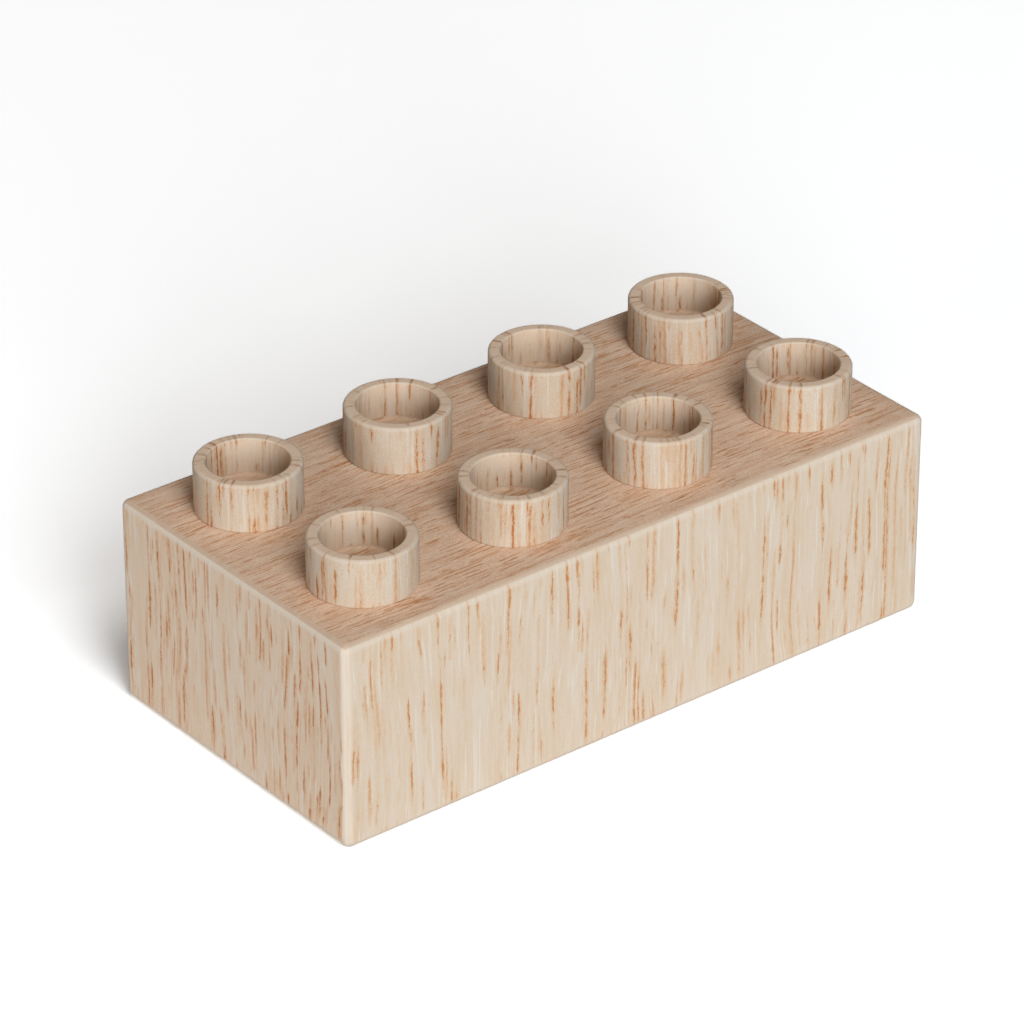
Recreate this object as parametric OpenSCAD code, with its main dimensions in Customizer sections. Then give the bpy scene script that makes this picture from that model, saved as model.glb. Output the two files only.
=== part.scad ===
// Giant building block: a hollow wooden box, open underneath, with two rows of four hollow studs on top.
// The origin is the middle of the base. X runs along the block, Y from front to back, and Z is up.

/* [Grid] */
// Distance between the centres of neighbouring studs
pitch = 125; // [110:1:140]
// Clear distance between neighbouring studs
stud_gap = 51; // [46:1:56]
// Gap that is left between two blocks set side by side
block_gap = 0.5; // [0.5:0.5:2]

/* [Box] */
// Height of the box from the floor to its top face
box_h = 154; // [130:1:200]
// Thickness of the four walls and the top board
board_t = 15; // [12:1:17]
// Radius of the outer edges
edge_r = 6; // [3:0.5:7]
// Width of the bevel along the inner bottom edge of the walls
wall_bevel = 3; // [1:0.5:4]

/* [Studs] */
// Height of a stud above the top face
stud_h = 35.5; // [30:0.5:42]
// Thickness of a stud's wall
stud_wall = 8.5; // [7:0.5:11]
// Radius of the two edges of a stud's rim
rim_r = 2.8; // [1.5:0.1:3.2]
// Height of the floor inside a stud above the top face
stud_floor = 8; // [6:0.5:12]
// Radius of the cove between that floor and the stud's wall
floor_cove = 2.5; // [1:0.5:4]
// Width of the shoulder round the tenon under that floor
tenon_shoulder = 5.3; // [4:0.1:9]

/* [Grip] */
// Clearance between the underside and the studs of the block below
grip_clear = 0.4; // [0.3:0.1:0.8]
// Height of the grip pieces' lower ends above the floor
grip_recess = 4; // [2:0.5:8]
// Height of a grip rail
rail_h = 32; // [20:1:36]
// Width of the bevel that leads a stud in
lead_in = 3; // [1:0.5:3.5]
// Wall thickness of a clutch tube
tube_wall = 9; // [6:0.5:12]
// Radius of the lower edges of a clutch tube
tube_edge_r = 2; // [1:0.5:2.5]
// Thickness of the plug that holds a clutch tube
tube_plug_h = 18; // [14:1:24]

/* [Framing] */
// Side of the square section of the cleats
cleat_w = 18; // [14:1:22]
// Height of the cross battens
batten_h = 18; // [14:1:22]
// Clearance between a cross batten and the clutch tubes on both sides of it
batten_clear = 1.5; // [0.5:0.5:2]
// Bevel on the long edges of cleats and battens, and along the top of a rail
timber_bevel = 1; // [0.5:0.25:1.5]
// Width of the key across a mitred corner
key_w = 14; // [10:1:14]
// Thickness of that key
key_t = 4; // [3:0.5:4]
// Wood left between a key and the outer faces
key_cover = 3; // [2:0.5:4]
// Wood left above and below a key
key_stop = 6; // [4:1:12]

/* [Screws] */
// Shank diameter of a screw
screw_d = 5; // [4:0.5:6]
// Head diameter of a screw
screw_head_d = 10; // [8:0.5:12]
// Height of the conical head
screw_head_h = 3; // [2:0.25:4]
// Length of a screw's point
screw_point = 6; // [4:0.5:8]
// Wood left beyond a screw's point
screw_cover = 5; // [3:0.5:6]
// Width of the two slots of the cross in a screw's head
cross_w = 1.2; // [0.8:0.1:1.6]
// Length of those slots
cross_l = 5.6; // [4:0.2:6.4]
// Depth of those slots
cross_depth = 1.8; // [1:0.1:1.8]

/* [Fits] */
// Glue gap around a round tenon or plug
glue_gap = 0.2; // [0.1:0.05:0.3]
// Gap around a screw in its pilot hole
pilot_gap = 0.1; // [0.05:0.05:0.2]

/* [Hidden] */

// The grid has four columns from left to right and two rows from front to back.
COLUMNS = 4;
ROWS = 2;
FRONT = -1;
BACK = 1;
LEFT = -1;
RIGHT = 1;
SIDES = [-1, 1];
COLUMN_LIST = [1 : COLUMNS];
TUBE_LIST = [-1, 0, 1];

// Steps in a quarter turn of a rounded edge, steps in the eighth of a turn up to a mitre, and facets of a circle.
QUARTER_STEPS = 6;
EIGHTH_STEPS = 3;
CIRCLE_FN = 96;
// How far a cutting shape runs past what it cuts.
OVERCUT = 1;

box_l = COLUMNS * pitch - block_gap;
box_w = ROWS * pitch - block_gap;
under_top = box_h - board_t;
inner_l = box_l - 2 * board_t;
inner_w = box_w - 2 * board_t;

stud_r = (pitch - stud_gap) / 2;
stud_bore_r = stud_r - stud_wall;
flange_r = stud_bore_r - glue_gap;
tenon_r = flange_r - tenon_shoulder;

tube_r = pitch / sqrt(2) - stud_r - grip_clear;
tube_bore_r = tube_r - tube_wall;
tube_plug_r = tube_bore_r - glue_gap;

// From a stud of the block below to the inner face of a wall, less the clearance.
rail_t = (stud_gap - block_gap) / 2 - board_t - grip_clear;
// From the inner corner of the box, along the diagonal, to the same stud, less the clearance.
post_reach = ((pitch - block_gap) / 2 - board_t) * sqrt(2) - stud_r - grip_clear;
post_leg = post_reach * sqrt(2) - rail_t;
post_top = under_top - cleat_w;

batten_w = pitch - 2 * tube_r - 2 * batten_clear;
batten_l = inner_w - 2 * cleat_w;

key_inset = key_cover + (key_w + key_t) / 2 / sqrt(2);
key_h = under_top - 2 * key_stop;

stud_screw_l = batten_h + board_t + stud_floor - screw_cover;
tube_screw_l = tube_plug_h + board_t - screw_cover;

WALL_COLOUR = "#dcc8ae";
TOP_COLOUR = "#b99a7e";
STUD_COLOUR = "#e0cfb8";
FLOOR_COLOUR = "#b58f70";
INNER_COLOUR = "#c9a988";
PLY_COLOUR = "#a9825c";
SCREW_COLOUR = "#9a9a9c";

function stud_x(column) = (column - (COLUMNS + 1) / 2) * pitch;
function stud_y(row) = row * pitch / 2;

// Points of an arc about (cx, cy) from one angle to another.
function arc(cx, cy, r, from, to, steps) =
    [for (i = [0 : steps]) let (a = from + (to - from) * i / steps) [cx + r * cos(a), cy + r * sin(a)]];

// Section through a board across two mitred edges: x along the span, y the depth below its outer face.
function mitred_section(span) = concat(
    arc(edge_r - span / 2, edge_r, edge_r, 225, 270, EIGHTH_STEPS),
    arc(span / 2 - edge_r, edge_r, edge_r, 270, 315, EIGHTH_STEPS),
    [[span / 2 - board_t, board_t], [board_t - span / 2, board_t]]
);

// Upright section through a wall: x the depth behind its outer face, y the height.
function wall_section() = concat(
    [[board_t, wall_bevel], [board_t - wall_bevel, 0]],
    arc(edge_r, edge_r, edge_r, 270, 180, QUARTER_STEPS),
    arc(edge_r, box_h - edge_r, edge_r, 180, 135, EIGHTH_STEPS),
    [[board_t, under_top]]
);

// Section of a timber with its four long edges bevelled, from one corner at the origin.
function timber_section(w, h) = let (b = timber_bevel) [
    [b, 0], [w - b, 0], [w, b], [w, h - b], [w - b, h], [b, h], [0, h - b], [0, b]
];

// Section of a grip rail: x from the wall inwards, y the height, with the lead-in at its lower inner edge.
function rail_section() = [
    [0, 0], [rail_t - lead_in, 0], [rail_t, lead_in], [rail_t, rail_h - timber_bevel],
    [rail_t - timber_bevel, rail_h], [0, rail_h]
];

// Plan of a corner post from the inner corner of the box.
function post_plan() = [
    [0, 0], [post_leg, 0], [post_leg, rail_t], [rail_t, post_leg], [0, post_leg]
];

// What the lead-in cuts off a post's foot: x along the diagonal from the corner of the box, y the height.
function post_lead_in() = [
    [post_reach - lead_in - OVERCUT, -OVERCUT],
    [post_reach + OVERCUT, -OVERCUT],
    [post_reach + OVERCUT, lead_in + OVERCUT]
];

// Extrudes along X, centred, with the child's x turned to Y and its y turned to Z.
module along_x(length) {
    rotate([90, 0, 90])
        translate([0, 0, -length / 2])
            linear_extrude(length)
                children();
}

// Extrudes along Y, centred, with the child's x turned to X and its y turned to Z.
module along_y(length) {
    rotate([90, 0, 0])
        translate([0, 0, -length / 2])
            linear_extrude(length)
                children();
}

// A wall with its outer face on y = 0, mitred at both ends and along its top.
module mitred_wall(span) {
    intersection() {
        linear_extrude(box_h)
            polygon(mitred_section(span));
        along_x(span)
            polygon(wall_section());
    }
}

// A key across one mitred corner. The walls are slotted with the same shape.
module key_form(x_side, y_side) {
    translate([x_side * (box_l / 2 - key_inset), y_side * (box_w / 2 - key_inset), key_stop])
        rotate(-45 * x_side * y_side)
            translate([-key_w / 2, -key_t / 2, 0])
                cube([key_w, key_t, key_h]);
}

module long_wall(y_side) {
    color(WALL_COLOUR)
        difference() {
            rotate(y_side == FRONT ? 0 : 180)
                translate([0, -box_w / 2, 0])
                    mitred_wall(box_l);
            for (x_side = SIDES)
                key_form(x_side, y_side);
        }
}

module end_wall(x_side) {
    color(WALL_COLOUR)
        difference() {
            rotate(x_side == LEFT ? -90 : 90)
                translate([0, -box_l / 2, 0])
                    mitred_wall(box_w);
            for (y_side = SIDES)
                key_form(x_side, y_side);
        }
}

// The top board, mitred on all four sides, with a seat for each stud's tenon and pilot holes under it.
module top_board() {
    tube_pilot_h = tube_screw_l - tube_plug_h + OVERCUT;
    color(TOP_COLOUR)
        difference() {
            translate([0, 0, box_h])
                mirror([0, 0, 1])
                    intersection() {
                        along_x(box_l)
                            polygon(mitred_section(box_w));
                        along_y(box_w)
                            polygon(mitred_section(box_l));
                    }
            for (column = COLUMN_LIST, row = SIDES)
                translate([stud_x(column), stud_y(row), under_top - OVERCUT])
                    cylinder(h = board_t + 2 * OVERCUT, r = tenon_r + glue_gap, $fn = CIRCLE_FN);
            for (place = TUBE_LIST)
                translate([place * pitch, 0, under_top - OVERCUT])
                    cylinder(h = tube_pilot_h + OVERCUT, r = screw_d / 2 + pilot_gap, $fn = CIRCLE_FN / 2);
        }
}

// A turned ring with both edges of its rim rounded.
module stud_ring(row, column) {
    section = concat(
        [[stud_bore_r, 0], [stud_r, 0]],
        arc(stud_r - rim_r, stud_h - rim_r, rim_r, 0, 90, QUARTER_STEPS),
        arc(stud_bore_r + rim_r, stud_h - rim_r, rim_r, 90, 180, QUARTER_STEPS)
    );
    color(STUD_COLOUR)
        translate([stud_x(column), stud_y(row), box_h])
            rotate_extrude($fn = CIRCLE_FN)
                polygon(section);
}

// The floor of a stud: a flange inside the ring, coved at its edge, on a tenon through the top board.
module stud_plug(row, column) {
    section = concat(
        [[0, -board_t], [tenon_r, -board_t], [tenon_r, 0], [flange_r, 0]],
        arc(flange_r - floor_cove, stud_floor + floor_cove, floor_cove, 0, -90, QUARTER_STEPS),
        [[0, stud_floor]]
    );
    pilot_h = stud_screw_l - batten_h + OVERCUT;
    color(FLOOR_COLOUR)
        translate([stud_x(column), stud_y(row), box_h])
            difference() {
                rotate_extrude($fn = CIRCLE_FN)
                    polygon(section);
                translate([0, 0, -board_t - OVERCUT])
                    cylinder(h = pilot_h + OVERCUT, r = screw_d / 2 + pilot_gap, $fn = CIRCLE_FN / 2);
            }
}

// A countersunk screw that stands on its head at the origin and points up.
module screw(length) {
    difference() {
        rotate_extrude($fn = CIRCLE_FN / 2)
            polygon([
                [0, 0], [screw_head_d / 2, 0], [screw_d / 2, screw_head_h],
                [screw_d / 2, length - screw_point], [0, length]
            ]);
        for (turn = [0, 90])
            rotate(turn)
                translate([-cross_l / 2, -cross_w / 2, -OVERCUT])
                    cube([cross_l, cross_w, cross_depth + OVERCUT]);
    }
}

// The hole for a screw through a piece of the given height: countersink and clearance.
module screw_hole(height) {
    translate([0, 0, -OVERCUT])
        cylinder(h = height + 2 * OVERCUT, r = screw_d / 2 + pilot_gap, $fn = CIRCLE_FN / 2);
    cylinder(
        h = screw_head_h,
        r1 = screw_head_d / 2 + pilot_gap,
        r2 = screw_d / 2 + pilot_gap,
        $fn = CIRCLE_FN / 2
    );
}

module stud_screws() {
    color(SCREW_COLOUR)
        for (column = COLUMN_LIST, row = SIDES)
            translate([stud_x(column), stud_y(row), under_top - batten_h])
                screw(stud_screw_l);
}

// A clutch tube stands between four studs of the block below and grips all of them.
module clutch_tube(place) {
    section = concat(
        arc(tube_bore_r + tube_edge_r, tube_edge_r, tube_edge_r, 180, 270, QUARTER_STEPS),
        arc(tube_r - tube_edge_r, tube_edge_r, tube_edge_r, 270, 360, QUARTER_STEPS),
        [[tube_r, under_top - grip_recess], [tube_bore_r, under_top - grip_recess]]
    );
    color(INNER_COLOUR)
        translate([place * pitch, 0, grip_recess])
            rotate_extrude($fn = CIRCLE_FN)
                polygon(section);
}

// A disc under the top board that holds the upper end of a clutch tube.
module tube_plug(place) {
    color(PLY_COLOUR)
        translate([place * pitch, 0, under_top - tube_plug_h])
            difference() {
                cylinder(h = tube_plug_h, r = tube_plug_r, $fn = CIRCLE_FN);
                screw_hole(tube_plug_h);
            }
}

module tube_plug_screws() {
    color(SCREW_COLOUR)
        for (place = TUBE_LIST)
            translate([place * pitch, 0, under_top - tube_plug_h])
                screw(tube_screw_l);
}

module long_grip_rail(y_side) {
    color(INNER_COLOUR)
        rotate(y_side == FRONT ? 0 : 180)
            translate([0, -inner_w / 2, grip_recess])
                along_x(inner_l - 2 * post_leg)
                    polygon(rail_section());
}

module end_grip_rail(x_side) {
    color(INNER_COLOUR)
        rotate(x_side == LEFT ? -90 : 90)
            translate([0, -inner_l / 2, grip_recess])
                along_x(inner_w - 2 * post_leg)
                    polygon(rail_section());
}

// A post glued into an inner corner, flush with the rails that meet it, with the lead-in at its foot.
module corner_post(x_side, y_side) {
    color(INNER_COLOUR)
        translate([x_side * inner_l / 2, y_side * inner_w / 2, grip_recess])
            mirror([x_side == RIGHT ? 1 : 0, 0, 0])
                mirror([0, y_side == BACK ? 1 : 0, 0])
                    difference() {
                        linear_extrude(post_top - grip_recess)
                            polygon(post_plan());
                        rotate(45)
                            along_y(2 * post_leg)
                                polygon(post_lead_in());
                    }
}

module corner_key(x_side, y_side) {
    color(PLY_COLOUR)
        key_form(x_side, y_side);
}

// The cleats run round the joint between the walls and the top board.
module long_cleat(y_side) {
    color(INNER_COLOUR)
        rotate(y_side == FRONT ? 0 : 180)
            translate([0, -inner_w / 2, under_top - cleat_w])
                along_x(inner_l)
                    polygon(timber_section(cleat_w, cleat_w));
}

module end_cleat(x_side) {
    color(INNER_COLOUR)
        rotate(x_side == LEFT ? -90 : 90)
            translate([0, -inner_l / 2, under_top - cleat_w])
                along_x(inner_w - 2 * cleat_w)
                    polygon(timber_section(cleat_w, cleat_w));
}

// A batten under the top board carries the screws of one front and one back stud.
module cross_batten(column) {
    color(INNER_COLOUR)
        translate([stud_x(column), 0, under_top - batten_h])
            difference() {
                along_y(batten_l)
                    translate([-batten_w / 2, 0])
                        polygon(timber_section(batten_w, batten_h));
                for (row = SIDES)
                    translate([0, stud_y(row), 0])
                        screw_hole(batten_h);
            }
}

long_wall(FRONT);  // front_wall
long_wall(BACK);  // back_wall
end_wall(LEFT);  // left_wall
end_wall(RIGHT);  // right_wall
top_board();
stud_ring(FRONT, 1);  // stud_ring_front_1
stud_ring(FRONT, 2);  // stud_ring_front_2
stud_ring(FRONT, 3);  // stud_ring_front_3
stud_ring(FRONT, 4);  // stud_ring_front_4
stud_ring(BACK, 1);  // stud_ring_back_1
stud_ring(BACK, 2);  // stud_ring_back_2
stud_ring(BACK, 3);  // stud_ring_back_3
stud_ring(BACK, 4);  // stud_ring_back_4
stud_plug(FRONT, 1);  // stud_plug_front_1
stud_plug(FRONT, 2);  // stud_plug_front_2
stud_plug(FRONT, 3);  // stud_plug_front_3
stud_plug(FRONT, 4);  // stud_plug_front_4
stud_plug(BACK, 1);  // stud_plug_back_1
stud_plug(BACK, 2);  // stud_plug_back_2
stud_plug(BACK, 3);  // stud_plug_back_3
stud_plug(BACK, 4);  // stud_plug_back_4
stud_screws();
clutch_tube(LEFT);  // clutch_tube_left
clutch_tube(0);  // clutch_tube_middle
clutch_tube(RIGHT);  // clutch_tube_right
tube_plug(LEFT);  // tube_plug_left
tube_plug(0);  // tube_plug_middle
tube_plug(RIGHT);  // tube_plug_right
tube_plug_screws();
long_grip_rail(FRONT);  // grip_rail_front
long_grip_rail(BACK);  // grip_rail_back
end_grip_rail(LEFT);  // grip_rail_left
end_grip_rail(RIGHT);  // grip_rail_right
corner_post(LEFT, FRONT);  // corner_post_front_left
corner_post(RIGHT, FRONT);  // corner_post_front_right
corner_post(LEFT, BACK);  // corner_post_back_left
corner_post(RIGHT, BACK);  // corner_post_back_right
corner_key(LEFT, FRONT);  // corner_key_front_left
corner_key(RIGHT, FRONT);  // corner_key_front_right
corner_key(LEFT, BACK);  // corner_key_back_left
corner_key(RIGHT, BACK);  // corner_key_back_right
long_cleat(FRONT);  // cleat_front
long_cleat(BACK);  // cleat_back
end_cleat(LEFT);  // cleat_left
end_cleat(RIGHT);  // cleat_right
cross_batten(1);  // cross_batten_1
cross_batten(2);  // cross_batten_2
cross_batten(3);  // cross_batten_3
cross_batten(4);  // cross_batten_4
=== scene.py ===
"""Giant wooden building block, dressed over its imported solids.

Every length is in metres in the part's own frame: X runs along the block, Y from front to back, Z up, and the origin
is the middle of the base. Each new piece is a closed surface worked out on grids with numpy. It carries three
attributes that the wood finishes read: "grain", the place in its timber as (across, across, along), "edge", which is
1 on a rounded edge and 0 on a flat, and "cut", which is 1 where the grain is cut across and 0 along it.
"""

import logging
import math
from collections.abc import Callable, Sequence
from dataclasses import asdict, dataclass
from enum import Enum, IntEnum
from functools import cache, reduce

import bmesh
import bpy
import numpy as np
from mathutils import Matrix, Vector


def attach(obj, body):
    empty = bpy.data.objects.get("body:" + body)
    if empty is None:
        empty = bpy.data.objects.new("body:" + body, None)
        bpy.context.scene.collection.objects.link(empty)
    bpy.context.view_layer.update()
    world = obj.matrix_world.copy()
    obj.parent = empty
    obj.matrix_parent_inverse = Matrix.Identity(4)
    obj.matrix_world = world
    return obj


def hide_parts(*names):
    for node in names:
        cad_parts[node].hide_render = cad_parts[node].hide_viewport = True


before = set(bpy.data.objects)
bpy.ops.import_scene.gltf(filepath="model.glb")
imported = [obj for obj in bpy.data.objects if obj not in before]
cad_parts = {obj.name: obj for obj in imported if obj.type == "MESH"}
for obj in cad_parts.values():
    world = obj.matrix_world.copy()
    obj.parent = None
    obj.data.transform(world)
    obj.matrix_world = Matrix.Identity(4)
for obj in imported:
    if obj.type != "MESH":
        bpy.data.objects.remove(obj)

log = logging.getLogger("block")

Array = np.ndarray
Socket = bpy.types.NodeSocket
Value = float | Socket
Point = tuple[float, float]
Colour = tuple[float, float, float]

MM = 0.001
BODY = "root"
WELD = 0.002 * MM
HOLD = 1 * MM  # How far from an edge a flat gets one more point, which keeps its shading flat.
FLAT_POINTS = 7  # Points along a straight stretch of a turned profile or of a batten.
CURVE_STEPS = 5  # Steps along a rounded corner of an outline.
ROUND_STEPS = 8  # Steps along a small rounding of a turned piece.
SPOKES = (0.0, 0.04, 0.3, 0.65, 1.0)  # Places of the rings between a hole and the rim of its cell.
CREASE = 32.0  # The angle in degrees past which an edge is shaded as a crease.
TIMBER_SIZE = 4.0  # Each piece's place in its timber lies within so many metres of the middle, each way.
LANE_SPREAD = 90.0  # How far apart the vessels' lanes read the noise that breaks them up.
TONE = {"Band": 0.36, "Streak": 0.36, "Fibre": 0.28}  # How far each part of the figure takes the wood to its tan.
RAY_SHIFT = (1.7, 2.3, 3.1)  # How far the pale lines' pattern lies from the pores'.
SATIN = {"IOR": 1.46, "Specular IOR Level": 0.02}  # The gloss of the clear finish on solid wood.


class Side(IntEnum):
    """A wall of the block, as quarter turns from the front."""

    FRONT = 0
    RIGHT = 1
    BACK = 2
    LEFT = 3

    def is_long(self) -> bool:
        """Tells whether it is one of the two long walls."""
        return self % 2 == 0


class Seed(IntEnum):
    """Where each kind of piece starts to count its seeds, so that no two pieces show the same figure."""

    TOP = 5
    WALL = 11
    RING = 31
    STUD_PLUG = 61
    TUBE = 81
    TUBE_PLUG = 91
    RAIL = 101
    CLEAT = 111
    POST = 121
    BATTEN = 131


class Grain(Enum):
    """The direction in which a piece's grain runs, as the order in which its axes are read: across, across, along."""

    UPRIGHT = (0, 1, 2)
    LENGTHWISE = (1, 2, 0)
    CROSSWISE = (2, 0, 1)

    def place(self, points: Array) -> Array:
        """Gives the place in the timber: the points' coordinates in this order."""
        return points[..., list(self.value)]


# --- Surfaces ---


@dataclass
class Patch:
    """A grid of points, each of its cells a face.

    Args:
        points: Rows by columns by 3.
        edge: How far each point lies on a rounded edge: rows by columns, a row, a column or one number.
        grain: Rows by columns by 3, or None where the grain follows the frame's axes.
        cut: How far the grain is cut across at each point, in the same forms as edge.
        rows_meet: The last row joins the first.
        columns_meet: The last column joins the first.
    """

    points: Array
    edge: Array | float = 0.0
    grain: Array | None = None
    cut: Array | float = 0.0
    rows_meet: bool = False
    columns_meet: bool = False

    @classmethod
    def fan(cls, rim: Array, edge: Array | float = 0.0) -> "Patch":
        """Closes a ring of points with a fan about their mean, where the edge mask is 0."""
        middle = np.repeat(rim.mean(axis=0)[None], len(rim), axis=0)
        return cls(np.stack([rim, middle]), np.outer([1.0, 0.0], np.broadcast_to(edge, len(rim))), columns_meet=True)

    def faces(self) -> Array:
        """Numbers the corners of the grid's cells, turned the same way throughout.

        Returns:
            Rows of four point numbers.
        """
        rows, columns = self.points.shape[:2]
        number = np.arange(rows * columns).reshape(rows, columns)
        if self.rows_meet:
            number = np.vstack([number, number[:1]])
        if self.columns_meet:
            number = np.hstack([number, number[:, :1]])
        cells = np.stack([number[:-1, :-1], number[:-1, 1:], number[1:, 1:], number[1:, :-1]], axis=-1)
        return cells.reshape(-1, 4)

    def spread(self, mask: Array | float) -> Array:
        """Gives a mask's value at every point, in one row."""
        return np.broadcast_to(mask, self.points.shape[:2]).astype(np.float32).ravel()

    def turn(self, side: Side) -> "Patch":
        """Turns the patch from the front to another side. Each quarter turn takes (x, y) to (-y, x).

        Args:
            side: Where it goes.

        Returns:
            The same patch.
        """
        for _ in range(side):
            x, y = self.points[..., 0].copy(), self.points[..., 1].copy()
            self.points[..., 0], self.points[..., 1] = -y, x
        return self


def grid_points(x: Array | float, y: Array | float, z: Array | float) -> Array:
    """Makes a grid of points from their coordinates, each of them a grid, a row, a column or one number."""
    return np.stack(np.broadcast_arrays(x, y, z), axis=-1)


def upright(radius: float, heights: Array) -> Array:
    """Gives the points of a profile that runs straight up or down, as (radius, height)."""
    return np.column_stack([np.full(len(heights), radius), heights])


def arc(centre: Point, radius: float, start: float, stop: float, steps: int) -> Array:
    """Gives points on an arc: the centre plus the radius times (cos a, sin a), with a in degrees from start to stop."""
    a = np.radians(np.linspace(start, stop, steps + 1))
    return np.stack([centre[0] + radius * np.cos(a), centre[1] + radius * np.sin(a)], axis=-1)


def held(start: float, stop: float, margin: float, steps: int) -> Array:
    """Gives even steps from start to stop, with one more point near each end that keeps the shading of the flat."""
    inset = math.copysign(margin, stop - start)
    return np.concatenate([[start], np.linspace(start + inset, stop - inset, steps), [stop]])


def stepped(marks: Sequence[float], steps: int) -> Array:
    """Gives places from the first mark to the last, with the same number of even steps between each two."""
    spans = [np.linspace(a, b, steps + 1)[:-1] for a, b in zip(marks[:-1], marks[1:])]
    return np.concatenate([*spans, marks[-1:]])


def rounded_loop(corners: Sequence[tuple[float, float, float]]) -> tuple[Array, Array]:
    """Rounds the corners of a closed outline.

    Each corner with a radius r becomes a quadratic curve between the two points that lie r before and after it:
    (1-t)^2 times the first, plus 2t(1-t) times the corner, plus t^2 times the second, with t from 0 to 1.

    Args:
        corners: Each corner as (x, y, radius), in order.

    Returns:
        The outline's points, and the edge mask of each, highest in the middle of a curve.
    """
    points, masks = [], []
    place = np.array([c[:2] for c in corners])
    t = np.linspace(0.0, 1.0, CURVE_STEPS + 1)[:, None]
    for i, (_, _, radius) in enumerate(corners):
        here, before, after = place[i], place[i - 1], place[(i + 1) % len(place)]
        if radius == 0:
            points.append(here[None])
            masks.append(np.zeros(1))
            continue
        first, second = (here + radius * (far - here) / np.linalg.norm(far - here) for far in (before, after))
        points.append((1 - t) ** 2 * first + 2 * t * (1 - t) * here + t**2 * second)
        masks.append(np.sin(np.pi * t[:, 0]))
    return np.concatenate(points), np.concatenate(masks)


def revolved(profile: Array, centre: Point, steps: int, edge: Array | float = 0.0, closed: bool = True) -> Patch:
    """Turns a profile about an upright axis: (x, y, z) = (cx + r cos a, cy + r sin a, z), with a round the circle.

    Args:
        profile: Points as (radius, height).
        centre: The axis's place.
        steps: Steps round the circle.
        edge: The edge mask of each point of the profile, as a column, or one number.
        closed: The profile's last point joins its first.

    Returns:
        The patch, with the profile along its rows.
    """
    a = np.linspace(0.0, 2 * np.pi, steps, endpoint=False)
    radius, height = profile[:, :1], profile[:, 1:]
    points = grid_points(centre[0] + radius * np.cos(a), centre[1] + radius * np.sin(a), height)
    return Patch(points, edge, rows_meet=closed, columns_meet=True)


def capped(rings: Array, mask: Array) -> list[Patch]:
    """Joins rings of points into a tube and closes both of its ends."""
    return [Patch(rings, mask, columns_meet=True), Patch.fan(rings[0], mask), Patch.fan(rings[-1], mask)]


def plate_cell(x: Array, y: Array, z: float, centre: Point | None, radius: float) -> Patch:
    """Makes one rectangle of a flat plate, with or without a round hole.

    With a hole, each point of the rectangle's rim is joined to the point of the circle that lies on the line to the
    hole's centre: p = centre + (1-t) r u + t (rim - centre), with u the direction to the rim's point and t from 0 to 1.

    Args:
        x: Places along the two sides that run in X.
        y: Places along the two sides that run in Y.
        z: The plate's height.
        centre: The hole's centre, if there is a hole.
        radius: The hole's radius.

    Returns:
        The patch. Its first row is the hole's circle where there is one.
    """
    if centre is None:
        return Patch(grid_points(x[:, None], y, z))
    sides = ((x[:-1], y[0]), (x[-1], y[:-1]), (x[:0:-1], y[-1]), (x[0], y[:0:-1]))
    away = np.concatenate([np.stack(np.broadcast_arrays(*side), axis=-1) for side in sides]) - centre
    circle = radius * away / np.linalg.norm(away, axis=1, keepdims=True)
    t = np.array(SPOKES)[:, None, None]
    flat = centre + (1 - t) * circle + t * away
    return Patch(grid_points(flat[..., 0], flat[..., 1], z), columns_meet=True)


# --- Node trees ---


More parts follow.
